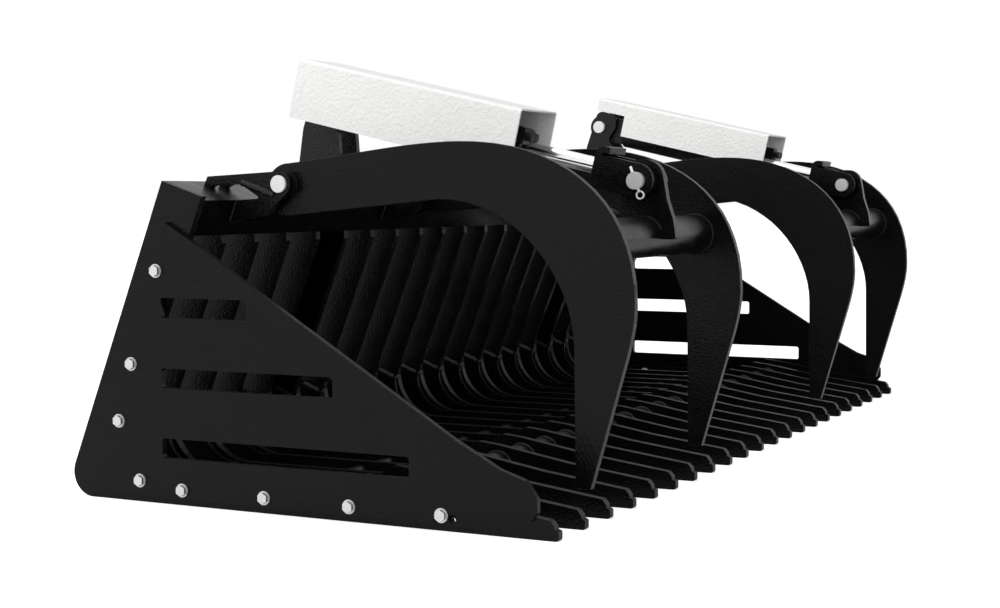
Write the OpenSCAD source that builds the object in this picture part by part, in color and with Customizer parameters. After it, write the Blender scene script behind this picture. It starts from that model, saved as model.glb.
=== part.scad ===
// Rock grapple bucket for a compact loader: a skeleton bucket of parallel tines under a
// tilted top beam, bolted side panels with slots, and two grapples with their cylinders.
// X runs along the width, the tine tips point to -Y, Z = 0 is the floor. Outlines are drawn
// with Y = 0 at the tips, and then moved so that the origin is in the middle of the whole.
// "left" is the -X side, "right" the +X side.

/* [Tines] */
// Distance from one tine to the next
tine_pitch = 85.725; // [85:0.025:86]
// Thickness of each tine plate
tine_t = 12.7; // [10:0.1:13]
// Depth of the upright part of a tine, square to the back
rib_depth = 73; // [66:1:76]
// Height of the flat part of the tine floor
floor_h = 38; // [36:0.5:42]
// Height of the hump over the front cross tube
hump_h = 68; // [66:0.5:72]
// Thickness of the doubler plate in the heel of each inner tine
doubler_t = 9.5; // [6:0.5:12]

/* [Frame] */
// Height of the top beam, along the back
beam_h = 55.8; // [50:0.2:60]
// Depth of the top beam, square to the back
beam_depth = 77.5; // [74:0.5:82]
// Wall of the top beam
beam_wall = 6.4; // [4:0.1:8]
// Diameter of the front cross tube
front_tube_d = 48.3; // [42:0.1:49]
// Diameter of the rear cross tube
rear_tube_d = 26.7; // [20:0.1:28]
// Wall of the cross tubes
tube_wall = 4; // [3:0.1:6]

/* [Side panels] */
// Thickness of a side panel
panel_t = 9.525; // [6:0.025:12]
// Height of the panel slots
slot_h = 29; // [24:1:32]
// Corner radius of the panel slots
slot_r = 5; // [3:0.5:8]
// Distance from the back of the tines to the rear edge of a panel
panel_inset = 27; // [20:1:32]

/* [Panel fasteners] */
// Diameter of the bolt shank
bolt_d = 9.5; // [8:0.1:9.8]
// Width of the hexagon over its flats
bolt_flats = 14.3; // [13:0.1:15]
// Diameter of the bolt flange
bolt_flange_d = 20; // [18:0.5:22]
// Length of the bolt that stands out of its nut
bolt_tail = 3; // [1:0.5:6]

/* [Grapples] */
// Middle plane of the outer grapple plates
arm_outer_x = 785.95; // [783:0.05:788]
// Middle plane of the inner grapple plates
arm_inner_x = 344.65; // [342:0.05:348]
// Thickness of a grapple plate
arm_t = 12.7; // [10:0.1:14]
// Diameter of the cross tube of a grapple
arm_tube_d = 60.3; // [54:0.1:64]
// Diameter of the pins
pin_d = 25.4; // [22:0.1:26]
// Thickness of a pivot ear
ear_t = 12.7; // [10:0.1:14]
// Gap between a pivot ear and the grapple plate
ear_gap = 6; // [4:0.5:8]

/* [Cylinders] */
// Outer diameter of the barrel
barrel_d = 63.5; // [62:0.1:64]
// Bore of the barrel
barrel_bore = 50.8; // [50:0.1:54]
// Diameter of the rod
rod_d = 25.4; // [24:0.1:25.4]
// Thickness of a yoke ear
yoke_t = 9.5; // [8:0.1:9.5]
// Thickness of the lug on the grapple
arm_lug_t = 12.7; // [10:0.1:16]
// Thickness of the lugs on the beam
base_lug_t = 9.5; // [8:0.1:9.5]
// Thickness of the tang at the rear of the barrel
tang_t = 42; // [36:1:42]

/* [Covers] */
// Thickness of the cover sheet
cover_t = 3; // [2:0.1:3.2]
// Outer bend radius of the cover
cover_bend = 6; // [4:0.5:10]

/* [Loader mount] */
// Width of the lip and the ledge
mount_w = 1143; // [1100:1:1160]
// Thickness of the mount's plates
mount_t = 9.5; // [8:0.1:10]
// Width of each of the two uprights
upright_w = 93.5; // [80:0.5:150]
// Depth of the upper lip along its slope
lip_len = 46; // [40:1:50]
// Depth of the lower ledge
ledge_depth = 58; // [50:1:60]
// Distance of each latch slot from the middle
latch_x = 391; // [385:1:397]
// Width of a latch slot
latch_w = 66; // [60:1:72]
// Depth of a latch slot
latch_depth = 26; // [22:1:30]

/* [Hidden] */
$fn = 48;

// Clearances
bore_gap = 0.05;
hole_gap = 0.25;
tube_gap = 0.1;
cut = 1;

// Angle of a half turn, and the largest step of an arc
half_turn = 180;
arc_step = 9;

// Colours
paint = "#232325";
zinc = "#c9c9c4";
chrome = "#e6e8ea";
cover_white = "#f0f0ee";

// Tines: the two outermost carry the side panels
tine_count = 22;
first_tine_x = -(tine_count - 1) / 2 * tine_pitch;
end_in = -first_tine_x - tine_t / 2;
end_out = -first_tine_x + tine_t / 2;
panel_out = end_out + panel_t;

// Back plane: its lean from the upright, and its highest tine point
back_lean = 21.9;
back_top = [627.1, 459.7];
// Point at depth d in front of the back plane and at height h along it, as [y, z]
function bk(d, h) = back_top + d * [-cos(back_lean), -sin(back_lean)]
    + h * [-sin(back_lean), cos(back_lean)];
// Y of the line at depth d where its height is z
function bk_y(d, z) = back_top.x - d / cos(back_lean) + (back_top.y - z) * tan(back_lean);

// Top beam: heights along the back, and the depth of its front face
beam_top_h = 8.8;
beam_bottom_h = beam_top_h - beam_h;
beam_front_d = beam_depth - mount_t;

// Tine outline
heel_r = 36;
throat_r = 80;
front_tube_yz = [253, 30];
rear_tube_yz = [445, 19];
nose_floor = [[-7, 0, 4], [bk_y(0, 0), 0, heel_r]];
nose_top = [[5, 27, 4], [-1, 20, 1], [-1.5, 15.5, 1], [-7, 13, 2]];
hump = [[331, floor_h, 12], [289, hump_h, 10], [254, hump_h - 3.6, 30], [135, 44, 60]];
rib_chamfer_h = 11;
end_top_h = [12, 17];
doubler_top_h = -348.5;
doubler_front = [[640, 0, 0], [612, floor_h, 0]];
doubler_lap = 5.6;
doubler_front_lap = 4;
doubler_throat = 14;
end_hole = [148, 15.5];
end_hole_d = 9;

// Side panel outline: the slope from the top corner down to the nose
panel_top = [614, 412];
panel_slope = [[549, 375, 30], [464, 321, 60], [139, 125, 40], [73, 90, 20]];
panel_nose = [[35.5, 78, 12], [19, 55, 4], [19, 37, 3], [29, 24.3, 3], [149, 24.3, 10], [178, 11, 10]];
panel_floor = 11;
panel_rear_z = 404;
panel_heel_r = 73;
slot_rear = 621;
slots = [[471.6, 287.7], [329.4, 185.4], [209.6, 83.5]];
bolt_yz = [[628, 341], [675, 204], [699, 119], [662, 33], [586, 24], [444, 24], [304, 23], [160, 23]];
rear_tube_end = end_in - tine_pitch + tine_t;
flange_t = 2;
head_h = 6.5;
nut_h = 8;

// Grapple plate: outline of cubic curves between the points named here
arm_pivot = [484, 466];
arm_end = [481, 458];
arm_end_r = 38.5;
arm_back_top = [200, 524];
arm_front = [-66, 302];
arm_shin = [-52, 222];
arm_tip = [[-3, 52], [-3, 50], [20, 50]];
arm_heel = [22, 240];
arm_under = [235, 443];
// Handles of its curves: before a point and after it
end_handle = [-90, 8];
back_handle = [[-90, 0], [-144, 0]];
front_handle = [[0, -152], [0, -27]];
shin_handle = [8, -28];
heel_handle = [0, 98];
under_handle = [121, -5];
curve_steps = 16;
arm_tube_yz = [10, 387];
hub_d = 36.5;
hub_gap = 0.6;

// Pivot ears on the beam, in pairs beside each grapple plate
ear_shift = arm_t / 2 + ear_gap + ear_t / 2;
ear_top = [612, 478];
ear_nose_r = 18.5;
ear_low = [510, 420];
ear_heel_z = 409;
ear_window = [[517, 445, 2], [552, 466, 3], [598, 466, 3]];
ear_foot_y = [608, 618];
ear_bar_yz = [519, 428];
ear_bar_d = 12;
bar_stand = 3;
pin_stand = 4;

// Cylinder axis: the yoke pin, the base pin and the angle of the rod's line
cyl_x = (arm_outer_x + arm_inner_x) / 2;
yoke_pin_yz = [11, 469.2];
base_pin_yz = [551, 598.7];
axis_start = [10, 474];
axis_tilt = atan2(base_pin_yz.y - axis_start.y, base_pin_yz.x - axis_start.x);
base_s = norm(base_pin_yz - axis_start);
// Point [y, z] as distance s along the rod's line and n above it
function along(p) = [
    (p - axis_start) * [cos(axis_tilt), sin(axis_tilt)],
    (p - axis_start) * [-sin(axis_tilt), cos(axis_tilt)]
];
yoke_pin_sn = along(yoke_pin_yz);
pin_half = 38.5;
cotter_in = 4;
cotter_d = 4.4;
cotter_lean = 20;
cotter_low = 5;
cotter_high = 9;
ring_r = 5.5;
ring_d = 2.8;
yoke_ear_x = 21;
lug_corners = [
    [-41, 384, 4], [40, 384, 0], [44, 420, 20], [46, 500, 28], [-17, 500, 28], [-27, 442, 10], [-37, 412, 20]
];
lug_hub_d = 44;
lug_hub_half = 20.4;
base_lug_x = 21.7;
base_lug_front = [
    [554.5, 635.5, 14], [512.5, 622.6, 14], [513.8, 597, 6], [531, 572, 10], [517, 548, 8], [514, 512, 20]
];
base_lug_foot_y = 600;
base_lug_rear = [[590, 503, 30], [582, 556, 20]];

// Stations along the rod's line
yoke_back = 62.5;
yoke_leg = 9.5;
yoke_half_h = 25;
yoke_top_n = 33;
yoke_top_front = 50;
rod_end = 352;
gland_front = 195;
gland_len = 26;
gland_bore_r = 21.5;
barrel_rear = 500;
barrel_cap = 12;
eye_r = 26;
cover_front = 175;
cover_rear = 568;
cover_out = 89.5;
cover_in = 35;
cover_top = 62.5;
cover_low_out = -30.5;
cover_low_in = -8.9;
notch_s = 502;
notch_n = 35;
post_s = [245, 450];
post_w = 36;
post_len = 30;

// Ports beside the gland, measured from the cylinder's middle plane
port_out = 57;
port_w = 24;
port_low = 10;
port_front = 178;
port_len = 62;
port_clamp = 200;
port_seat = 18;
port_stand = 13;
port_d = 13;
port_x = [4.8, 18.2];
line_len = 236;
line_d = 9.5;

// Loader mount
mount_bottom_h = -430;
leg_top_h = -370;
ledge_t = 12.7;
latch_back = 4;
slot_end_r = 6;

// Corner b of an outline, rounded by an arc of radius b.z
function corner(a, b, c) = b.z == 0 ? [[b.x, b.y]] :
    let (
        u = [a.x - b.x, a.y - b.y] / norm([a.x - b.x, a.y - b.y]),
        v = [c.x - b.x, c.y - b.y] / norm([c.x - b.x, c.y - b.y]),
        half = acos(u * v) / 2,
        o = [b.x, b.y] + (u + v) / norm(u + v) * b.z / sin(half),
        p = [b.x, b.y] + u * b.z / tan(half) - o,
        q = [b.x, b.y] + v * b.z / tan(half) - o,
        start = atan2(p.y, p.x),
        turn = (atan2(q.y, q.x) - start + 3 * half_turn) % (2 * half_turn) - half_turn,
        steps = max(2, ceil(abs(turn) / arc_step))
    )
    [for (i = [0:steps]) o + b.z * [cos(start + turn * i / steps), sin(start + turn * i / steps)]];
// Outline through the corners [y, z, radius]
function rounded(p) = [
    for (i = [0:len(p) - 1]) each corner(p[(i + len(p) - 1) % len(p)], p[i], p[(i + 1) % len(p)])
];
// Cubic curve from a to d with the handles b and c, without its first point
function curve(a, b, c, d) = [
    for (i = [1:curve_steps]) let (t = i / curve_steps, s = 1 - t)
        s * s * s * a + 3 * s * s * t * b + 3 * s * t * t * c + t * t * t * d
];
// Corner without rounding
function sharp(p) = [p.x, p.y, 0];

// Moves a part so that the origin lies on the floor in the middle of the whole
module centred() {
    rear = bk(-mount_t - ledge_depth, mount_bottom_h).x;
    translate([0, -(arm_front.x + rear) / 2, 0]) children();
}
// Plate of an outline in the Y-Z plane, from x0 to x1
module plate(x0, x1) {
    translate([x0, 0, 0]) rotate([90, 0, 90]) linear_extrude(x1 - x0) children();
}
// Round bar or bore along X, from x0 to x1, about the point [y, z]
module bar_x(x0, x1, yz, d) {
    translate([x0, yz.x, yz.y]) rotate([0, 90, 0]) cylinder(h = x1 - x0, d = d);
}
// Turns a left-hand part into the part of the given side
module on_side(side) {
    if (side == "left") children();
    else mirror([1, 0, 0]) children();
}
// Frame of the left cylinder: Y along the rod's line, Z above it, X from its middle plane
module on_axis() {
    translate([-cyl_x, axis_start.x, axis_start.y]) rotate([axis_tilt, 0, 0]) children();
}
// Round bar along the rod's line
module bar_s(s0, s1, d) {
    translate([0, s0, 0]) rotate([-90, 0, 0]) cylinder(h = s1 - s0, d = d);
}

// Outline of an inner tine
module tine_outline() {
    polygon(rounded(concat(
        nose_floor,
        [sharp(bk(0, beam_bottom_h)), sharp(bk(beam_front_d, beam_bottom_h))],
        [sharp(bk(rib_depth, beam_bottom_h - rib_chamfer_h))],
        [[bk_y(rib_depth, floor_h), floor_h, throat_r]],
        hump, nose_top
    )));
}
// Outline of an end tine, which runs up over the end of the beam
module end_tine_outline() {
    polygon(rounded(concat(
        nose_floor,
        [sharp(bk(0, end_top_h[0])), sharp(bk(rib_depth, end_top_h[1]))],
        [[bk_y(rib_depth, floor_h), floor_h, throat_r]],
        hump, nose_top
    )));
}
// Doubler plate in the heel, up to a ledge square to the back
module doubler_outline() {
    polygon(rounded(concat(
        [doubler_front[0], nose_floor[1], sharp(bk(0, doubler_top_h))],
        [sharp(bk(rib_depth + doubler_lap, doubler_top_h))],
        [[bk_y(rib_depth, floor_h) - doubler_front_lap, floor_h, throat_r - doubler_throat]],
        [doubler_front[1]]
    )));
}
module tine(k) {
    x = first_tine_x + (k - 1) * tine_pitch;
    color(paint) centred() translate([x, 0, 0]) difference() {
        union() {
            plate(-tine_t / 2, tine_t / 2)
                if (k == 1 || k == tine_count) end_tine_outline();
                else tine_outline();
            if (k > 1 && k < tine_count)
                plate(-tine_t / 2 - doubler_t, -tine_t / 2) doubler_outline();
        }
        if (k > 1 && k < tine_count) {
            bar_x(-tine_t, tine_t, front_tube_yz, front_tube_d + 2 * tube_gap);
            bar_x(-tine_t, tine_t, rear_tube_yz, rear_tube_d + 2 * tube_gap);
        }
        else {
            for (p = bolt_yz) bar_x(-tine_t, tine_t, p, bolt_d + 2 * hole_gap);
            bar_x(-tine_t, tine_t, end_hole, end_hole_d);
        }
    }
}

// Top beam: a box section, tilted with the back, between the end tines that close its ends
module beam_section(wall, back_wall) {
    polygon([
        bk(beam_front_d - wall, beam_bottom_h + wall), bk(back_wall - mount_t, beam_bottom_h + wall),
        bk(back_wall - mount_t, beam_top_h - wall), bk(beam_front_d - wall, beam_top_h - wall)
    ]);
}
module top_beam() {
    color(paint) centred() difference() {
        plate(-end_in, end_in) beam_section(0, 0);
        plate(-end_in - cut, end_in + cut) beam_section(beam_wall, mount_t);
    }
}

// Cross tubes through the tines: the front one meets the end tines, the rear one stops
// at the last inner tines
module cross_tube(half, yz, d) {
    color(paint) centred() difference() {
        bar_x(-half, half, yz, d);
        bar_x(-half - cut, half + cut, yz, d - 2 * tube_wall);
    }
}
module floor_tube_front() { cross_tube(end_in, front_tube_yz, front_tube_d); }
module floor_tube_rear() { cross_tube(rear_tube_end, rear_tube_yz, rear_tube_d); }

// Side panel, on the outer face of an end tine
module panel_outline() {
    polygon(rounded(concat(
        [[bk_y(panel_inset, panel_floor), panel_floor, panel_heel_r]],
        [[bk_y(panel_inset, panel_rear_z), panel_rear_z, 3], [panel_top.x, panel_top.y, 3]],
        panel_slope, panel_nose
    )));
}
module slot_outline(s) {
    polygon(rounded([
        [s.x, s.y - slot_h / 2, slot_r], [slot_rear, s.y - slot_h / 2, slot_r],
        [slot_rear, s.y + slot_h / 2, slot_r], [s.x, s.y + slot_h / 2, slot_r]
    ]));
}
module side_panel(side) {
    color(paint) centred() on_side(side) difference() {
        plate(-panel_out, -end_out) panel_outline();
        for (s = slots) plate(-panel_out - cut, -end_out + cut) slot_outline(s);
        for (p = bolt_yz) bar_x(-panel_out - cut, -end_out + cut, p, bolt_d + 2 * hole_gap);
    }
}

// Flange bolts through each panel and end tine, with flange nuts inside
module panel_bolt(yz) {
    bar_x(-panel_out - flange_t, -panel_out, yz, bolt_flange_d);
    bar_x(-panel_out - cut, -end_in + nut_h + bolt_tail, yz, bolt_d);
    translate([-panel_out - head_h, yz.x, yz.y]) rotate([0, 90, 0])
        cylinder(h = head_h - flange_t + cut, d = bolt_flats / cos(30), $fn = 6);
}
module panel_nut(yz) {
    translate([-end_in, yz.x, yz.y]) rotate([0, 90, 0]) difference() {
        union() {
            cylinder(h = flange_t, d = bolt_flange_d);
            cylinder(h = nut_h, d = bolt_flats / cos(30), $fn = 6);
        }
        translate([0, 0, -cut]) cylinder(h = nut_h + 2 * cut, d = bolt_d + 2 * bore_gap);
    }
}
module panel_bolts() {
    color(zinc) centred() for (side = ["left", "right"], p = bolt_yz) on_side(side) panel_bolt(p);
}
module panel_nuts() {
    color(zinc) centred() for (side = ["left", "right"], p = bolt_yz) on_side(side) panel_nut(p);
}

// Loader mount on the back of the tines: two uprights, an upper lip and a lower angle whose
// ledge has the latch slots
module mount_uprights() {
    color(paint) centred() for (side = ["left", "right"]) on_side(side)
        plate(-mount_w / 2, upright_w - mount_w / 2) polygon([
            bk(0, beam_bottom_h), bk(0, leg_top_h), bk(-mount_t, leg_top_h), bk(-mount_t, beam_bottom_h)
        ]);
}
module mount_lip() {
    reach = lip_len / sqrt(2);
    step = mount_t / sqrt(2);
    color(paint) centred() plate(-mount_w / 2, mount_w / 2) polygon([
        bk(-mount_t, beam_top_h), bk(-mount_t, beam_top_h - 2 * step),
        bk(-mount_t - reach + step, beam_top_h - reach - step),
        bk(-mount_t - reach, beam_top_h - reach)
    ]);
}
module mount_ledge() {
    mid = mount_t + ledge_depth / 2 + latch_back;
    color(paint) centred() difference() {
        plate(-mount_w / 2, mount_w / 2) polygon([
            bk(0, mount_bottom_h), bk(0, leg_top_h), bk(-mount_t, leg_top_h),
            bk(-mount_t, mount_bottom_h + ledge_t),
            bk(-mount_t - ledge_depth, mount_bottom_h + ledge_t),
            bk(-mount_t - ledge_depth, mount_bottom_h)
        ]);
        for (side = [-1, 1])
            translate([side * latch_x, bk(-mid, mount_bottom_h).x, bk(-mid, mount_bottom_h).y])
                rotate([back_lean, 0, 0]) translate([0, 0, -cut]) linear_extrude(ledge_t + 2 * cut)
                    polygon(rounded([
                        for (c = [[-1, -1], [1, -1], [1, 1], [-1, 1]])
                            [c.x * latch_w / 2, c.y * latch_depth / 2, slot_end_r]
                    ]));
    }
}

// Pivot ears: two beside each grapple plate. Each is seated on the front of the beam and, by a
// foot behind its window, on the top of the beam; a bar through the pair holds it together
function on_beam(y) = [y, bk(beam_front_d, beam_top_h).y
    + (y - bk(beam_front_d, beam_top_h).x) * tan(back_lean)];
// Angle at which the line from p touches the nose, above it or below it
function touch(p, up) = let (v = p - arm_pivot)
    atan2(v.y, v.x) + up * acos(ear_nose_r / norm(v));
module ear_outline() {
    start = touch(ear_top, 1);
    nose_steps = 14;
    turn = touch(ear_low, -1) + 2 * half_turn - start;
    polygon(rounded(concat(
        [sharp(ear_top)],
        [for (i = [0:nose_steps]) let (a = start + turn * i / nose_steps)
            sharp(arm_pivot + ear_nose_r * [cos(a), sin(a)])],
        [sharp(ear_low), [bk_y(beam_front_d, ear_heel_z), ear_heel_z, 0]],
        [sharp(bk(beam_front_d, beam_top_h))], ear_window,
        [for (y = ear_foot_y) sharp(on_beam(y))]
    )));
}
module pivot_ears() {
    half = ear_shift + ear_t / 2;
    color(paint) centred() for (side = ["left", "right"], x = [arm_outer_x, arm_inner_x])
        on_side(side) translate([-x, 0, 0]) difference() {
            union() {
                for (e = [-1, 1])
                    plate(e * ear_shift - ear_t / 2, e * ear_shift + ear_t / 2) ear_outline();
                bar_x(-half - bar_stand, half + bar_stand, ear_bar_yz, ear_bar_d);
            }
            bar_x(-half - cut, half + cut, arm_pivot, pin_d + 2 * bore_gap);
        }
}
module pivot_pins() {
    half = ear_shift + ear_t / 2 + pin_stand;
    color(zinc) centred() for (side = [-1, 1], x = [arm_outer_x, arm_inner_x])
        bar_x(side * x - half, side * x + half, arm_pivot, pin_d);
}

// Lugs on the beam for the base pins, two beside the tang of each barrel
module base_lug_outline() {
    polygon(rounded(concat(
        base_lug_front, [sharp(bk(beam_front_d, beam_top_h)), sharp(on_beam(base_lug_foot_y))],
        base_lug_rear
    )));
}
module base_lugs() {
    color(paint) centred() for (side = ["left", "right"], e = [-1, 1]) on_side(side)
        translate([-cyl_x, 0, 0]) difference() {
            plate(e * (base_lug_x + base_lug_t / 2) - base_lug_t / 2,
                e * (base_lug_x + base_lug_t / 2) + base_lug_t / 2) base_lug_outline();
            bar_x(-pin_half, pin_half, base_pin_yz, pin_d + 2 * bore_gap);
        }
}
module base_pins() {
    color(zinc) centred() for (side = [-1, 1])
        bar_x(side * cyl_x - pin_half, side * cyl_x + pin_half, base_pin_yz, pin_d);
}

// Grapple plate: a hook that curves over the mouth, with a hub about its pivot
module arm_outline() {
    top_start = arm_end + [0, arm_end_r];
    polygon(concat(
        [for (i = [0:half_turn / arc_step])
            arm_end + arm_end_r * [sin(i * arc_step), -cos(i * arc_step)]],
        curve(top_start, top_start + end_handle, arm_back_top - back_handle[0], arm_back_top),
        curve(arm_back_top, arm_back_top + back_handle[1], arm_front - front_handle[0], arm_front),
        curve(arm_front, arm_front + front_handle[1], arm_shin - shin_handle, arm_shin),
        arm_tip,
        [arm_heel],
        curve(arm_heel, arm_heel + heel_handle, arm_under - under_handle, arm_under)
    ));
}
module arm_plate(side, x) {
    hub_half = arm_t / 2 + ear_gap - hub_gap;
    color(paint) centred() on_side(side) difference() {
        union() {
            plate(-x - arm_t / 2, -x + arm_t / 2) arm_outline();
            bar_x(-x - hub_half, -x + hub_half, arm_pivot, hub_d);
        }
        bar_x(-x - hub_half - cut, -x + hub_half + cut, arm_pivot, pin_d + 2 * bore_gap);
    }
}
module arm_tube(side) {
    color(paint) centred() on_side(side) difference() {
        bar_x(-arm_outer_x + arm_t / 2, -arm_inner_x - arm_t / 2, arm_tube_yz, arm_tube_d);
        bar_x(-arm_outer_x, -arm_inner_x, arm_tube_yz, arm_tube_d - 2 * tube_wall);
    }
}
// Lug on the grapple's cross tube, with a hub about the yoke pin
module arm_lug(side) {
    color(paint) centred() on_side(side) translate([-cyl_x, 0, 0]) difference() {
        union() {
            plate(-arm_lug_t / 2, arm_lug_t / 2) polygon(rounded(lug_corners));
            bar_x(-lug_hub_half, lug_hub_half, yoke_pin_yz, lug_hub_d);
        }
        bar_x(-pin_half, pin_half, arm_tube_yz, arm_tube_d);
        bar_x(-pin_half, pin_half, yoke_pin_yz, pin_d + 2 * bore_gap);
    }
}

// Barrel with its rear cap, the tang and its eye, and the posts that carry the cover
module barrel(side) {
    color(paint) centred() on_side(side) on_axis() difference() {
        union() {
            bar_s(gland_front + gland_len, barrel_rear, barrel_d);
            translate([-tang_t / 2, barrel_rear - cut, -eye_r])
                cube([tang_t, base_s - barrel_rear + cut, 2 * eye_r]);
            translate([0, base_s, 0]) bar_x(-tang_t / 2, tang_t / 2, [0, 0], 2 * eye_r);
            for (s = post_s) translate([-post_w / 2, s, 0]) cube([post_w, post_len, cover_top - cover_t]);
        }
        bar_s(gland_front, barrel_rear - barrel_cap, barrel_bore);
        translate([0, base_s, 0]) bar_x(-tang_t, tang_t, [0, 0], pin_d + 2 * bore_gap);
    }
}
// Gland at the front of the barrel
module gland(side) {
    color(paint) centred() on_side(side) on_axis() difference() {
        bar_s(gland_front, gland_front + gland_len, barrel_d);
        bar_s(gland_front - cut, gland_front + gland_len + cut, 2 * gland_bore_r);
    }
}
// Ports: two fittings on a block beside the gland, a clamp on the barrel and a line to its rear
module ports(side) {
    color(paint) centred() on_side(side) on_axis() {
        difference() {
            union() {
                translate([-port_out, port_front, port_low]) cube([port_w, port_len, port_w]);
                translate([-port_out, port_clamp, port_low])
                    cube([port_out - port_seat, port_front + port_len - port_clamp, port_w]);
            }
            bar_s(gland_front, barrel_rear, barrel_d + 2 * tube_gap);
        }
        for (x = port_x)
            translate([x - port_out, port_front - port_stand, port_low + port_w / 2]) rotate([-90, 0, 0])
                cylinder(h = port_stand + cut, d = port_d);
        translate([port_w / 2 - port_out, port_front + port_len - cut, port_low + port_w / 2])
            rotate([-90, 0, 0]) cylinder(h = line_len, d = line_d);
    }
}
// Cover: a bent sheet over the barrel, open below, with a notch about the base pin
module cover(side) {
    color(cover_white) centred() on_side(side) on_axis() difference() {
        translate([0, cover_rear, 0]) rotate([90, 0, 0]) linear_extrude(cover_rear - cover_front)
            polygon(rounded([
                [-cover_out, cover_low_out, 0], [-cover_out, cover_top, cover_bend],
                [cover_in, cover_top, cover_bend], [cover_in, cover_low_in, 0],
                [cover_in - cover_t, cover_low_in, 0],
                [cover_in - cover_t, cover_top - cover_t, cover_bend - cover_t],
                [cover_t - cover_out, cover_top - cover_t, cover_bend - cover_t],
                [cover_t - cover_out, cover_low_out, 0]
            ]));
        translate([cover_in - 2 * cover_t, notch_s, cover_low_in - cut])
            cube([4 * cover_t, cover_rear, notch_n - cover_low_in + cut]);
    }
}
// Rod, welded to the leg of the yoke
module rod(side) {
    color(chrome) centred() on_side(side) on_axis() bar_s(yoke_back + yoke_leg, rod_end, rod_d);
}
// Yoke: two ears about the yoke pin and a bent plate behind and above them
module yoke(side) {
    half = yoke_ear_x + yoke_t;
    color(paint) centred() on_side(side) on_axis() difference() {
        union() {
            for (x = [-half, yoke_ear_x]) plate(x, x + yoke_t) union() {
                translate(yoke_pin_sn) circle(yoke_half_h);
                translate([yoke_pin_sn.x, yoke_pin_sn.y - yoke_half_h])
                    square([yoke_back - yoke_pin_sn.x, 2 * yoke_half_h]);
            }
            plate(-half, half) polygon(rounded([
                [yoke_back, yoke_pin_sn.y - yoke_half_h, 0],
                [yoke_back + yoke_leg, yoke_pin_sn.y - yoke_half_h, 0],
                [yoke_back + yoke_leg, yoke_top_n, 14], [yoke_top_front, yoke_top_n, 0],
                [yoke_top_front, yoke_top_n - yoke_leg, 0], [yoke_back, yoke_top_n - yoke_leg, 4.5]
            ]));
        }
        translate([0, yoke_pin_sn.x, yoke_pin_sn.y])
            bar_x(-half - cut, half + cut, [0, 0], pin_d + 2 * bore_gap);
    }
}
// Frame of the cotter: Z along its prong, which leans back through the outer end of the pin
module on_cotter() {
    translate([cotter_in - pin_half, yoke_pin_yz.x, yoke_pin_yz.y]) rotate([-cotter_lean, 0, 0]) children();
}
module yoke_pin(side) {
    color(zinc) centred() on_side(side) translate([-cyl_x, 0, 0]) difference() {
        bar_x(-pin_half, pin_half, yoke_pin_yz, pin_d);
        on_cotter() translate([0, 0, -pin_d]) cylinder(h = 2 * pin_d, d = cotter_d + 2 * tube_gap);
    }
}
// Cotter through the outer end of the yoke pin, with a ring below
module yoke_cotter(side) {
    color(zinc) centred() on_side(side) translate([-cyl_x, 0, 0]) on_cotter() {
        translate([0, 0, -pin_d / 2 - cotter_low]) cylinder(h = pin_d + cotter_low + cotter_high, d = cotter_d);
        translate([0, 0, -pin_d / 2 - cotter_low - ring_r + 1]) rotate([0, 90, 0])
            rotate_extrude() translate([ring_r, 0]) circle(d = ring_d);
    }
}

tine(1);  // tine_01
tine(2);  // tine_02
tine(3);  // tine_03
tine(4);  // tine_04
tine(5);  // tine_05
tine(6);  // tine_06
tine(7);  // tine_07
tine(8);  // tine_08
tine(9);  // tine_09
tine(10);  // tine_10
tine(11);  // tine_11
tine(12);  // tine_12
tine(13);  // tine_13
tine(14);  // tine_14
tine(15);  // tine_15
tine(16);  // tine_16
tine(17);  // tine_17
tine(18);  // tine_18
tine(19);  // tine_19
tine(20);  // tine_20
tine(21);  // tine_21
tine(22);  // tine_22
top_beam();
floor_tube_front();
floor_tube_rear();
side_panel("left");  // side_panel_left
side_panel("right");  // side_panel_right
panel_bolts();
panel_nuts();
mount_uprights();
mount_lip();
mount_ledge();
pivot_ears();
base_lugs();
pivot_pins();
base_pins();
arm_plate("left", arm_outer_x);  // arm_outer_left
arm_plate("left", arm_inner_x);  // arm_inner_left
arm_tube("left");  // arm_tube_left
arm_lug("left");  // arm_lug_left
barrel("left");  // barrel_left
gland("left");  // gland_left
ports("left");  // ports_left
cover("left");  // cover_left
rod("left");  // rod_left
yoke("left");  // yoke_left
yoke_pin("left");  // yoke_pin_left
yoke_cotter("left");  // yoke_cotter_left
arm_plate("right", arm_outer_x);  // arm_outer_right
arm_plate("right", arm_inner_x);  // arm_inner_right
arm_tube("right");  // arm_tube_right
arm_lug("right");  // arm_lug_right
barrel("right");  // barrel_right
gland("right");  // gland_right
ports("right");  // ports_right
cover("right");  // cover_right
rod("right");  // rod_right
yoke("right");  // yoke_right
yoke_pin("right");  // yoke_pin_right
yoke_cotter("right");  // yoke_cotter_right
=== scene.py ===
"""Dresses the rock grapple bucket: powder-coated plates, welds, fasteners, covers and studio."""
import math

import bmesh
import bpy
from bpy.props import FloatProperty, FloatVectorProperty, PointerProperty
from mathutils import Matrix, Vector, noise


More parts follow.
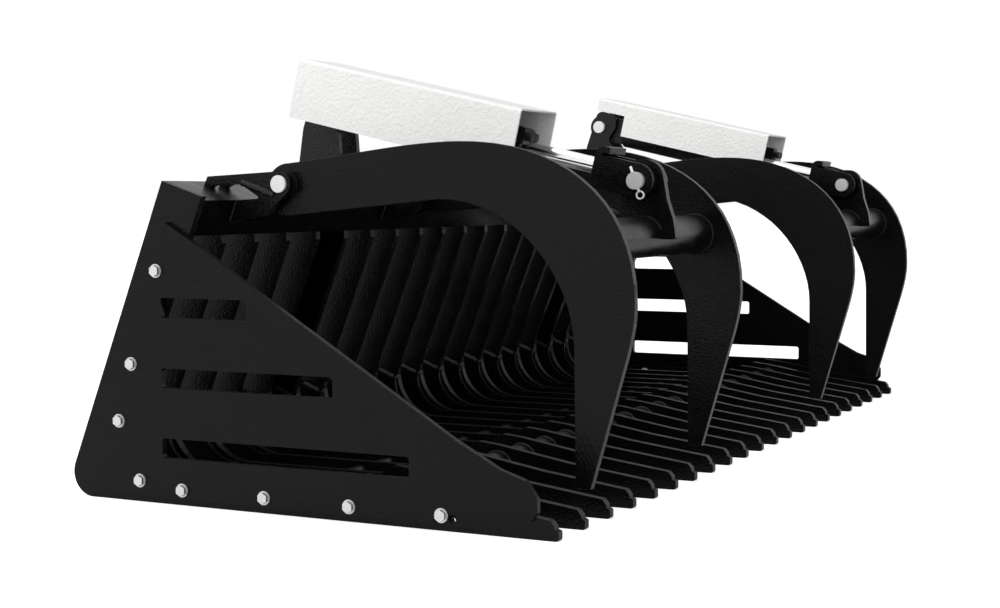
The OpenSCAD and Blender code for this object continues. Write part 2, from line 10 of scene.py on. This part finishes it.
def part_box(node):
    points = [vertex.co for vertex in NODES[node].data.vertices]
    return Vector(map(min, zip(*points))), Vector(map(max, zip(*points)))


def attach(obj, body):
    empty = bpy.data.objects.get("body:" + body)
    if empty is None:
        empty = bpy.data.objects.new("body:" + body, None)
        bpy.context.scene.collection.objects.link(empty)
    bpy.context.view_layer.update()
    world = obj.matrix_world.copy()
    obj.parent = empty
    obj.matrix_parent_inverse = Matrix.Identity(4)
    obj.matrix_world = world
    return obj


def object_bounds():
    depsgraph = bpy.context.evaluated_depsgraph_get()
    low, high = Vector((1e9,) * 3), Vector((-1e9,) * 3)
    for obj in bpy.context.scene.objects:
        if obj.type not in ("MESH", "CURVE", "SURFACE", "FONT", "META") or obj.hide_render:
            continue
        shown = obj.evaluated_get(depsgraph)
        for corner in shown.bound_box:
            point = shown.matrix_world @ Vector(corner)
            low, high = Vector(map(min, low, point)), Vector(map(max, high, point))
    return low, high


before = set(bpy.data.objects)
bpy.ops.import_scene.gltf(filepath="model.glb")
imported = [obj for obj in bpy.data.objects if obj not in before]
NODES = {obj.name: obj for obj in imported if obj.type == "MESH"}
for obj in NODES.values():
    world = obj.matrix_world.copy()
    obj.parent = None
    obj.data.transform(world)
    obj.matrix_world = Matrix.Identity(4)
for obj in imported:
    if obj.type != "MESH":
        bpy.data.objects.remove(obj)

bl_info = {
    "name": "Rock Grapple Bucket",
    "version": (1, 0, 0),
    "blender": (4, 5, 0),
    "location": "View3D > Sidebar > Bucket",
    "description": "Dresses a rock grapple bucket with coats, welds, fasteners and a studio",
    "category": "Object",
}

CAD_BOX = [list(corner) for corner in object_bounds()]
SIDES = ("left", "right")

# Front cross tube: its middle in the Y-Z plane and its radius
TUBE_LOW, TUBE_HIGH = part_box("floor_tube_front")
TUBE_YZ = ((TUBE_LOW.y + TUBE_HIGH.y) / 2, (TUBE_LOW.z + TUBE_HIGH.z) / 2)
TUBE_RADIUS = (TUBE_HIGH.z - TUBE_LOW.z) / 2

# Numbers of the tines between the two end ones
INNER_TINES = range(2, 22)

# Thickness of a tine, and of the lug on a grapple
PLATE = 0.0127

# Distances of the grapple plates from the middle of the bucket
ARM_X = (0.78595, 0.34465)

# Distances of the ears' faces from the middle plane of their grapple plate
EAR_FACES = (-0.02505, -0.01235, 0.01235, 0.02505)

# Beads of the ears in the Y-Z plane: down the front of the beam, and across the ear's face
EAR_FOOT = ((0.1686, 0.4415), (0.1815, 0.4100))
EAR_SEAM = ((0.1570, 0.4688), (0.1020, 0.4500))

# Bead along the top of the doubler plate in a tine's heel, in the Y-Z plane
HEEL_SEAM = ((0.3243, 0.1200), (0.2880, 0.1056))

# Radii of the thin and the broad beads, and how far the middle of a heel bead stands out
# from its tine, as shares of the bead radius in the settings
THIN_BEAD = 0.8
BROAD_BEAD = 1.8
HEEL_OUT = 0.7

# Points of a bead: corners of its section, step along a line, and number round each tube
BEAD_SIDES = 8
BEAD_STEP = 0.0015
TUBE_RING = 72
ARM_RING = 96

# Directions from the middle of a grapple's tube to the bead along its lug
LUG_ARC = [math.radians(20 + 2 * k) for k in range(71)]

# How far the beads on a grapple's tube lie from its ends
RING_INSET = 0.001

# Swelling of a bead at each ripple, its uneven part, and how often that changes in a metre
RIPPLE_SWELL = 0.14
UNEVEN_SWELL = 0.25
UNEVEN_RATE = 90

# Flange faces and tops of the panel bolts' heads, measured from the middle of the bucket
BOLT_TOP = CAD_BOX[1][0]
BOLT_FLANGE = BOLT_TOP - 0.0045

# Painted shade on a bolt head's sides, a dark band that stands in for the shadow round the head:
# its colour, and where it starts, is full and ends between the flange (0) and the top (1)
COLLAR_SHADE = (0.14, 0.14, 0.13, 1)
COLLAR_SHADE_START = 0.0
COLLAR_SHADE_FULL = (0.1, 0.82)
COLLAR_SHADE_END = 0.95

# Widths of the rounded edges of the small parts
BOLT_EDGE = 0.0005
PIN_EDGE = 0.0006
COVER_EDGE = 0.0006
FITTING_EDGE = 0.0008

# Rounding of plate edges: distance of points that count as one, steps, and the least angle
MERGE_DISTANCE = 0.00002
EDGE_STEPS = 2
EDGE_ANGLE = math.radians(35)

# Cell sizes of a powder coat's clouds and gloss, and how far its roughness varies
COAT_CLOUDS = 0.09
COAT_PATCHES = 0.03
COAT_GLOSS = (-0.04, 0.05)

# How much rougher the dust makes a face that looks straight up
DUST = 0.22

# Cell sizes of a plated metal's clouds and marks, the marks' depth, the shade of its darker
# clouds, and the shares of its roughness that it varies between
METAL_CLOUDS = 0.012
METAL_MARKS = 0.004
MARK_DEPTH = 0.0002
METAL_SHADE = 0.95
METAL_GLOSS = (0.92, 1.12)

# Black coats: starts of the nodes' names, added roughness, strength and relief of the grain,
# specular level, and whether the edges are rounded
BLACK_COATS = (
    ("black_powder_coat",
     ("tine_", "side_panel", "mount_", "pivot_ears", "arm_outer", "arm_inner", "arm_lug",
      "yoke_left", "yoke_right"), 0.0, 0.8, 0.24, 0.2, True),
    ("black_heavy_coat", ("base_lugs", "barrel_", "gland_"), 0.06, 1.0, 0.45, 0.36, True),
    ("black_beam_coat", ("top_beam",), -0.09, 0.25, 0.2, 0.24, True),
    ("black_tube_coat", ("floor_tube_", "arm_tube_"), -0.03, 0.25, 0.2, 0.2, False),
)

# Where the room's light comes from, which is the left, behind and a little above, and how
# sharply it falls off
ROOM_LIGHT = (-0.78, 0.55, 0.18)
ROOM_FALLOFF = 2.5

# Floor: half its width, its grey, its roughness and shine, and the glow that the camera sees
FLOOR_HALF = 30
FLOOR_GREY = 0.8
FLOOR_ROUGHNESS = 0.7
FLOOR_SPECULAR = 0.1
FLOOR_GLOW = 0.62

# Overhead lamp: its place, the point that it faces and the length of its side
LAMP_PLACE = (-0.5, 0.3, 2.6)
LAMP_TARGET = (0, 0, 0.3)
LAMP_SIZE = 1.6

# Camera: its place, the directions to the right and upwards in the picture, the width of
# its sensor in millimetres, and how far it sees
CAMERA_PLACE = (-2.8468, -1.28536, 0.4453)
CAMERA_RIGHT = (0.44699, -0.89454, -0.00280)
CAMERA_UP = (0.05825, 0.02598, 0.99796)
CAMERA_SENSOR = 36
CAMERA_REACH = 100


class CoatSettings(bpy.types.PropertyGroup):
    """Powder coat of the plates, tubes and lugs"""
    colour: FloatVectorProperty(
        name="Coat colour", description="Base colour of the black powder coat",
        subtype="COLOR", size=3, min=0, max=1, default=(0.0018, 0.0018, 0.002))
    roughness: FloatProperty(
        name="Roughness", description="Roughness of the coat", min=0, max=1, default=0.23)
    grain: FloatProperty(
        name="Grain", description="Size of the orange-peel grain", subtype="DISTANCE",
        unit="LENGTH", min=0.001, max=0.02, default=0.0032)
    edge: FloatProperty(
        name="Edge", description="Width of the rounded plate edges", subtype="DISTANCE",
        unit="LENGTH", min=0.0001, max=0.003, default=0.0009)


class CoverSettings(bpy.types.PropertyGroup):
    """White sheet covers over the cylinders"""
    colour: FloatVectorProperty(
        name="Cover colour", description="Base colour of the white powder coat",
        subtype="COLOR", size=3, min=0, max=1, default=(0.84, 0.84, 0.83))
    grain: FloatProperty(
        name="Grain", description="Size of the texture grain", subtype="DISTANCE",
        unit="LENGTH", min=0.001, max=0.02, default=0.0048)


class MetalSettings(bpy.types.PropertyGroup):
    """Bare and plated metal"""
    zinc: FloatVectorProperty(
        name="Zinc", description="Colour of the plated fasteners and pins",
        subtype="COLOR", size=3, min=0, max=1, default=(0.8, 0.8, 0.79))
    chrome: FloatVectorProperty(
        name="Chrome", description="Colour of the cylinder rods",
        subtype="COLOR", size=3, min=0, max=1, default=(0.92, 0.92, 0.93))


class WeldSettings(bpy.types.PropertyGroup):
    """Weld beads"""
    radius: FloatProperty(
        name="Bead", description="Radius of a weld bead", subtype="DISTANCE",
        unit="LENGTH", min=0.001, max=0.008, default=0.003)
    ripple: FloatProperty(
        name="Ripple", description="Distance from one ripple of a bead to the next",
        subtype="DISTANCE", unit="LENGTH", min=0.001, max=0.01, default=0.0042)


class StudioSettings(bpy.types.PropertyGroup):
    """Camera, floor and lamps"""
    lens: FloatProperty(
        name="Lens", description="Focal length of the camera", min=20, max=200,
        default=60.0)
    ambient: FloatProperty(
        name="Ambient", description="Level of the room's even light", min=0, max=2,
        default=0.2)
    side: FloatProperty(
        name="Side light", description="Level of the room's light from behind and the left",
        min=0, max=4, default=2.15)
    key: FloatProperty(
        name="Key", description="Power of the overhead lamp", subtype="POWER", min=0,
        default=9)


def new_material(name):
    """A new node material, its node tree and its Principled shader."""
    material = bpy.data.materials.new(name)
    material.use_nodes = True
    tree = material.node_tree
    return material, tree, tree.nodes["Principled BSDF"]


def math_node(tree, operation, *values):
    """The result of a math node, whose inputs are numbers or other nodes' outputs."""
    node = tree.nodes.new("ShaderNodeMath")
    node.operation = operation
    for socket, value in zip(node.inputs, values):
        if isinstance(value, (int, float)):
            socket.default_value = value
        else:
            tree.links.new(value, socket)
    return node.outputs[0]


def split_xyz(tree, coordinates):
    """The X, Y and Z outputs of one kind of texture coordinates."""
    place = tree.nodes.new("ShaderNodeTexCoord")
    split = tree.nodes.new("ShaderNodeSeparateXYZ")
    tree.links.new(place.outputs[coordinates], split.inputs[0])
    return split.outputs


def grain_height(tree, size, detail):
    """Object-space noise whose cells measure about the given size in metres."""
    place = tree.nodes.new("ShaderNodeTexCoord")
    texture = tree.nodes.new("ShaderNodeTexNoise")
    texture.inputs["Scale"].default_value = 1.0 / size
    texture.inputs["Detail"].default_value = detail
    tree.links.new(place.outputs["Object"], texture.inputs["Vector"])
    return texture.outputs["Fac"]


def shade(colour, factor):
    """A colour, made darker by a factor."""
    return tuple(c * factor for c in colour)


def ramp(tree, height, low, high, low_colour, high_colour):
    """Turns a height into a colour that changes from one to another between two places."""
    node = tree.nodes.new("ShaderNodeValToRGB")
    first, last = node.color_ramp.elements
    first.position, last.position = low, high
    first.color, last.color = (*low_colour, 1), (*high_colour, 1)
    tree.links.new(height, node.inputs["Fac"])
    return node.outputs["Color"]


def bump_surface(tree, shader, height, strength, distance):
    """Gives a shader the fine relief of a height."""
    bumps = tree.nodes.new("ShaderNodeBump")
    bumps.inputs["Strength"].default_value = strength
    bumps.inputs["Distance"].default_value = distance
    tree.links.new(height, bumps.inputs["Height"])
    tree.links.new(bumps.outputs["Normal"], shader.inputs["Normal"])


def powder_coat(name, colour, roughness, grain, bump, specular, cloudy=0.2, relief=0.2):
    """Powder coat: faint clouding, orange-peel bump, uneven gloss, and dust on upper faces."""
    material, tree, shader = new_material(name)
    clouds = grain_height(tree, COAT_CLOUDS, 4.0)
    tint = ramp(tree, clouds, 0.3, 0.75, shade(colour, 1 - cloudy), colour)
    tree.links.new(tint, shader.inputs["Base Color"])
    patches = grain_height(tree, COAT_PATCHES, 3.0)
    low, high = ([roughness + change] * 3 for change in COAT_GLOSS)
    gloss = ramp(tree, patches, 0.3, 0.7, low, high)
    upward = math_node(tree, "MAXIMUM", split_xyz(tree, "Normal")["Z"], 0.0)
    dusty = math_node(tree, "MULTIPLY_ADD", upward, DUST, gloss)
    tree.links.new(dusty, shader.inputs["Roughness"])
    bump_surface(tree, shader, grain_height(tree, grain, 1.0), bump, grain * relief)
    shader.inputs["Specular IOR Level"].default_value = specular
    return material


def plated_metal(name, colour, roughness, scratch, metallic=1.0):
    """Plated or polished metal with fine handling marks."""
    material, tree, shader = new_material(name)
    shader.inputs["Metallic"].default_value = metallic
    clouds = grain_height(tree, METAL_CLOUDS, 4.0)
    tint = ramp(tree, clouds, 0.25, 0.7, shade(colour, METAL_SHADE), colour)
    tree.links.new(tint, shader.inputs["Base Color"])
    marks = grain_height(tree, METAL_MARKS, 5.0)
    low, high = ([roughness * share] * 3 for share in METAL_GLOSS)
    gloss = ramp(tree, marks, 0.35, 0.7, low, high)
    tree.links.new(gloss, shader.inputs["Roughness"])
    bump_surface(tree, shader, marks, scratch, MARK_DEPTH)
    return material


def paint_collar_shade(material):
    """Painted shade: darkens the sides of the bolt heads, between the flange and the top."""
    tree = material.node_tree
    shader = tree.nodes["Principled BSDF"]
    unshaded = shader.inputs["Base Color"].links[0].from_socket
    out = math_node(tree, "ABSOLUTE", split_xyz(tree, "Object")["X"])
    height = math_node(tree, "DIVIDE", math_node(tree, "SUBTRACT", out, BOLT_FLANGE),
                       BOLT_TOP - BOLT_FLANGE)
    band = tree.nodes.new("ShaderNodeValToRGB")
    first, last = band.color_ramp.elements
    first.position, first.color = COLLAR_SHADE_START, (1, 1, 1, 1)
    last.position, last.color = COLLAR_SHADE_END, (1, 1, 1, 1)
    for position in COLLAR_SHADE_FULL:
        band.color_ramp.elements.new(position).color = COLLAR_SHADE
    tree.links.new(height, band.inputs["Fac"])
    # Multiplies the painted shade band into the base colour
    shaded = tree.nodes.new("ShaderNodeMix")
    shaded.data_type = "RGBA"
    shaded.blend_type = "MULTIPLY"
    shaded.inputs["Factor"].default_value = 1.0
    tree.links.new(unshaded, shaded.inputs["A"])
    tree.links.new(band.outputs["Color"], shaded.inputs["B"])
    tree.links.new(shaded.outputs["Result"], shader.inputs["Base Color"])


def dress(names, material, edge=None):
    """Gives CAD nodes a material, and rounds their edges where edge is a width in metres."""
    for name in names:
        piece = NODES[name]
        piece.data.materials.clear()
        piece.data.materials.append(material)
        if edge:
            merge = piece.modifiers.new("Merge", "WELD")
            merge.merge_threshold = MERGE_DISTANCE
            bevel = piece.modifiers.new("Edge", "BEVEL")
            bevel.width = edge
            bevel.segments = EDGE_STEPS
            bevel.limit_method = "ANGLE"
            bevel.angle_limit = EDGE_ANGLE
            bevel.harden_normals = True


def mesh_piece(name, bm, body, material):
    """A finished smooth mesh that rides on a body."""
    bmesh.ops.recalc_face_normals(bm, faces=bm.faces)
    mesh = bpy.data.meshes.new(name)
    bm.to_mesh(mesh)
    bm.free()
    for polygon in mesh.polygons:
        polygon.use_smooth = True
    mesh.materials.append(material)
    piece = bpy.data.objects.new(name, mesh)
    bpy.context.scene.collection.objects.link(piece)
    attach(piece, body)


def sweep(bm, path, radius, ripple, closed=False):
    """A round bead along points in a plane across the width, swelling at each ripple."""
    rings, count, length = [], len(path), 0.0
    for i, point in enumerate(path):
        before = path[i - 1] if closed or i else path[0]
        after = path[(i + 1) % count] if closed or i < count - 1 else path[-1]
        length += (point - path[i - 1]).length if i else 0.0
        along = (after - before).normalized()
        side = along.cross(Vector((1, 0, 0))).normalized()
        up = side.cross(along)
        swell = (1.0 + RIPPLE_SWELL * math.sin(2 * math.pi * length / ripple)
                 + UNEVEN_SWELL * noise.noise(point * UNEVEN_RATE))
        rings.append([
            bm.verts.new(point + (side * math.cos(a) + up * math.sin(a)) * radius * swell)
            for a in (2 * math.pi * k / BEAD_SIDES for k in range(BEAD_SIDES))])
    for i in range(count if closed else count - 1):
        one, two = rings[i], rings[(i + 1) % count]
        for k in range(BEAD_SIDES):
            following = (k + 1) % BEAD_SIDES
            bm.faces.new((one[k], one[following], two[following], two[k]))
    if not closed:
        bm.faces.new(rings[0])
        bm.faces.new(list(reversed(rings[-1])))


def line_points(x, ends):
    """Points along a straight line between two places in the Y-Z plane at x."""
    start, end = (Vector((x, *point)) for point in ends)
    count = max(2, round((end - start).length / BEAD_STEP))
    return [start.lerp(end, i / count) for i in range(count + 1)]


def arc_points(x, yz, radius, angles):
    """Points at the given angles round a middle in the Y-Z plane at x."""
    return [Vector((x, yz[0] + radius * math.cos(a), yz[1] + radius * math.sin(a)))
            for a in angles]


def ring_points(x, yz, radius, count):
    """Points all round a circle in the Y-Z plane at x."""
    return arc_points(x, yz, radius, [2 * math.pi * i / count for i in range(count)])


class BucketOperator:
    """What the operators of the bucket share"""
    bl_options = {"REGISTER", "UNDO"}


class BUCKET_OT_coat(BucketOperator, bpy.types.Operator):
    """Coat the tines, beam, panels, grapples and cylinders"""
    bl_idname = "bucket.coat"
    bl_label = "Black Powder Coat"

    def execute(self, context):
        coat = context.scene.bucket_coat
        for name, starts, rougher, bump, relief, specular, rounded in BLACK_COATS:
            material = powder_coat(name, tuple(coat.colour), coat.roughness + rougher,
                                   coat.grain, bump, specular, relief=relief)
            dress([n for n in NODES if n.startswith(starts)], material,
                  coat.edge if rounded else None)
        return {"FINISHED"}


class BUCKET_OT_metal(BucketOperator, bpy.types.Operator):
    """Plate the bolts, nuts and pins, and polish the rods"""
    bl_idname = "bucket.metal"
    bl_label = "Fasteners and Rods"

    def execute(self, context):
        metal = context.scene.bucket_metal
        zinc = plated_metal("zinc_plate", tuple(metal.zinc), roughness=0.24, scratch=0.1,
                            metallic=0.5)
        bolts = plated_metal("bolt_zinc", tuple(metal.zinc), roughness=0.24, scratch=0.1,
                             metallic=0.7)
        # Painted shade on the sides of the bolt heads, multiplied into their zinc colour
        paint_collar_shade(bolts)
        dress(["panel_bolts"], bolts, BOLT_EDGE)
        dress(["panel_nuts", "pivot_pins", "base_pins"]
              + [f"{n}_{s}" for n in ("yoke_pin", "yoke_cotter") for s in SIDES],
              zinc, PIN_EDGE)
        chrome = plated_metal("rod_chrome", tuple(metal.chrome), roughness=0.12,
                              scratch=0.05)
        dress([f"rod_{s}" for s in SIDES], chrome)
        fittings = powder_coat("fitting_black", (0.003, 0.003, 0.003), roughness=0.35,
                               grain=0.002, bump=0.2, specular=0.3)
        dress([f"ports_{s}" for s in SIDES], fittings, FITTING_EDGE)
        return {"FINISHED"}


class BUCKET_OT_covers(BucketOperator, bpy.types.Operator):
    """Coat the covers over the cylinders"""
    bl_idname = "bucket.covers"
    bl_label = "White Covers"

    def execute(self, context):
        cover = context.scene.bucket_cover
        material = powder_coat("white_cover_coat", tuple(cover.colour), roughness=0.36,
                               grain=cover.grain, bump=0.9, specular=0.3, cloudy=0.04,
                               relief=0.32)
        dress([f"cover_{s}" for s in SIDES], material, COVER_EDGE)
        return {"FINISHED"}


class BUCKET_OT_welds(BucketOperator, bpy.types.Operator):
    """Lay weld beads round the tubes, in the heels and along the ears and lugs"""
    bl_idname = "bucket.welds"
    bl_label = "Weld Beads"

    def execute(self, context):
        weld = context.scene.bucket_weld
        coat = context.scene.bucket_coat
        material = powder_coat("weld_coat", tuple(coat.colour), roughness=0.34, grain=0.003,
                               bump=1.0, specular=0.5, relief=0.5)
        self.tine_beads(weld, material)
        self.heel_beads(weld, material)
        self.ear_beads("ear_seam_welds", EAR_SEAM, weld.radius * BROAD_BEAD, weld.ripple,
                       material)
        self.ear_beads("ear_foot_welds", EAR_FOOT, weld.radius, weld.ripple,
                       bpy.data.materials["black_beam_coat"])
        for side in SIDES:
            self.grapple_beads(weld, bpy.data.materials["black_tube_coat"], side)
        return {"FINISHED"}

    def tine_beads(self, weld, material):
        """Round the front cross tube, on both faces of each inner tine."""
        bm = bmesh.new()
        for k in INNER_TINES:
            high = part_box(f"tine_{k:02d}")[1]
            for x in (high.x - PLATE, high.x):
                ring = ring_points(x, TUBE_YZ, TUBE_RADIUS, TUBE_RING)
                sweep(bm, ring, weld.radius * THIN_BEAD, weld.ripple, True)
        mesh_piece("tube_welds", bm, "bucket", material)

    def heel_beads(self, weld, material):
        """Along the top of the doubler plate of each inner tine."""
        bm = bmesh.new()
        for k in INNER_TINES:
            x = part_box(f"tine_{k:02d}")[1].x - PLATE - weld.radius * HEEL_OUT
            sweep(bm, line_points(x, HEEL_SEAM), weld.radius * BROAD_BEAD, weld.ripple)
        mesh_piece("heel_welds", bm, "bucket", material)

    def ear_beads(self, name, line, radius, ripple, material):
        """One straight bead on both faces of each ear."""
        bm = bmesh.new()
        for mid in ARM_X:
            for face in EAR_FACES:
                for sign in (-1, 1):
                    sweep(bm, line_points(sign * (mid + face), line), radius, ripple)
        mesh_piece(name, bm, "bucket", material)

    def grapple_beads(self, weld, material, side):
        """Round the ends of the grapple's tube and along its lug."""
        bm = bmesh.new()
        low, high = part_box(f"arm_tube_{side}")
        yz = ((low.y + high.y) / 2, (low.z + high.z) / 2)
        radius = (high.z - low.z) / 2
        for x in (low.x + RING_INSET, high.x - RING_INSET):
            sweep(bm, ring_points(x, yz, radius, ARM_RING), weld.radius, weld.ripple, True)
        lug_low, lug_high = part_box(f"arm_lug_{side}")
        middle = (lug_low.x + lug_high.x) / 2
        for x in (middle - PLATE / 2, middle + PLATE / 2):
            sweep(bm, arc_points(x, yz, radius, LUG_ARC), weld.radius, weld.ripple)
        mesh_piece(f"grapple_welds_{side}", bm, f"grapple_{side}", material)


class BUCKET_OT_stage(BucketOperator, bpy.types.Operator):
    """Build the floor, the overhead lamp, the room light and the camera"""
    bl_idname = "bucket.stage"
    bl_label = "Studio"

    def execute(self, context):
        studio = context.scene.bucket_studio
        scene = context.scene
        scene.view_settings.view_transform = "Standard"
        self.room(scene, studio)
        self.floor(scene)
        self.lamp(scene, studio)
        self.camera(scene, studio)
        return {"FINISHED"}

    def room(self, scene, studio):
        """White for the camera and in reflections; the rest falls off towards the front."""
        world = bpy.data.worlds.new("room")
        scene.world = world
        world.use_nodes = True
        tree = world.node_tree
        tree.nodes.clear()
        path = tree.nodes.new("ShaderNodeLightPath")
        place = tree.nodes.new("ShaderNodeTexCoord")
        facing = tree.nodes.new("ShaderNodeVectorMath")
        facing.operation = "DOT_PRODUCT"
        facing.inputs[1].default_value = Vector(ROOM_LIGHT).normalized()
        tree.links.new(place.outputs["Generated"], facing.inputs[0])
        half = math_node(tree, "MULTIPLY_ADD", facing.outputs["Value"], 0.5, 0.5)
        lobe = math_node(tree, "POWER", half, ROOM_FALLOFF)
        soft = math_node(tree, "MULTIPLY_ADD", lobe, studio.side, studio.ambient)
        seen = math_node(tree, "MAXIMUM", path.outputs["Is Camera Ray"],
                         path.outputs["Is Glossy Ray"])
        seen = math_node(tree, "MAXIMUM", seen, path.outputs["Is Transmission Ray"])
        hidden = math_node(tree, "SUBTRACT", 1.0, seen)
        light = math_node(tree, "MULTIPLY_ADD", hidden, soft, seen)
        plain = tree.nodes.new("ShaderNodeBackground")
        plain.inputs["Color"].default_value = (1, 1, 1, 1)
        tree.links.new(light, plain.inputs["Strength"])
        out = tree.nodes.new("ShaderNodeOutputWorld")
        tree.links.new(plain.outputs[0], out.inputs["Surface"])

    def floor(self, scene):
        """A wide pale floor that keeps the object's shadow."""
        bm = bmesh.new()
        bm.faces.new([bm.verts.new((x * FLOOR_HALF, y * FLOOR_HALF, 0))
                      for x, y in ((-1, -1), (1, -1), (1, 1), (-1, 1))])
        mesh = bpy.data.meshes.new("floor")
        bm.to_mesh(mesh)
        bm.free()
        floor = bpy.data.objects.new("floor", mesh)
        scene.collection.objects.link(floor)
        material, tree, shader = new_material("floor_pale")
        shader.inputs["Base Color"].default_value = (FLOOR_GREY, FLOOR_GREY, FLOOR_GREY, 1)
        shader.inputs["Roughness"].default_value = FLOOR_ROUGHNESS
        shader.inputs["Specular IOR Level"].default_value = FLOOR_SPECULAR
        path = tree.nodes.new("ShaderNodeLightPath")
        glow = tree.nodes.new("ShaderNodeEmission")
        glow.inputs["Color"].default_value = (1, 1, 1, 1)
        level = math_node(tree, "MULTIPLY", path.outputs["Is Camera Ray"], FLOOR_GLOW)
        tree.links.new(level, glow.inputs["Strength"])
        both = tree.nodes.new("ShaderNodeAddShader")
        out = tree.nodes["Material Output"]
        tree.links.new(shader.outputs[0], both.inputs[0])
        tree.links.new(glow.outputs[0], both.inputs[1])
        tree.links.new(both.outputs[0], out.inputs["Surface"])
        mesh.materials.append(material)

    def lamp(self, scene, studio):
        """A square soft lamp above the bucket."""
        data = bpy.data.lights.new("overhead", "AREA")
        data.size = LAMP_SIZE
        data.energy = studio.key
        lamp = bpy.data.objects.new("overhead", data)
        lamp.location = LAMP_PLACE
        aim = Vector(LAMP_TARGET) - Vector(LAMP_PLACE)
        lamp.rotation_euler = aim.to_track_quat("-Z", "Y").to_euler()
        scene.collection.objects.link(lamp)

    def camera(self, scene, studio):
        """The photograph's camera."""
        data = bpy.data.cameras.new("camera")
        data.lens = studio.lens
        data.sensor_width = CAMERA_SENSOR
        data.clip_end = CAMERA_REACH
        camera = bpy.data.objects.new("camera", data)
        scene.collection.objects.link(camera)
        right, up = Vector(CAMERA_RIGHT), Vector(CAMERA_UP)
        back = right.cross(up).normalized()
        up = back.cross(right).normalized()
        turn = Matrix((right.normalized(), up, back)).transposed().to_4x4()
        camera.matrix_world = Matrix.Translation(CAMERA_PLACE) @ turn
        scene.camera = camera


class BUCKET_PT_panel(bpy.types.Panel):
    """Lists the steps that dress the bucket"""
    bl_idname = "BUCKET_PT_panel"
    bl_label = "Rock Grapple Bucket"
    bl_space_type = "VIEW_3D"
    bl_region_type = "UI"
    bl_category = "Bucket"

    def draw(self, context):
        for group, operator in STEPS:
            box = self.layout.box()
            box.operator(operator.bl_idname)
            settings = getattr(context.scene, group)
            for name in settings.__annotations__:
                box.prop(settings, name)


SETTINGS = {
    "bucket_coat": CoatSettings,
    "bucket_cover": CoverSettings,
    "bucket_metal": MetalSettings,
    "bucket_weld": WeldSettings,
    "bucket_studio": StudioSettings,
}
STEPS = (
    ("bucket_studio", BUCKET_OT_stage),
    ("bucket_coat", BUCKET_OT_coat),
    ("bucket_metal", BUCKET_OT_metal),
    ("bucket_cover", BUCKET_OT_covers),
    ("bucket_weld", BUCKET_OT_welds),
)
CLASSES = (*SETTINGS.values(), *(operator for _, operator in STEPS), BUCKET_PT_panel)


def register():
    for cls in CLASSES:
        bpy.utils.register_class(cls)
    for name, cls in SETTINGS.items():
        setattr(bpy.types.Scene, name, PointerProperty(type=cls))


def unregister():
    for name in SETTINGS:
        delattr(bpy.types.Scene, name)
    for cls in reversed(CLASSES):
        bpy.utils.unregister_class(cls)


def main():
    register()
    for _, operator in STEPS:
        group, step = operator.bl_idname.split(".")
        getattr(getattr(bpy.ops, group), step)()


if __name__ == "__main__":
    main()
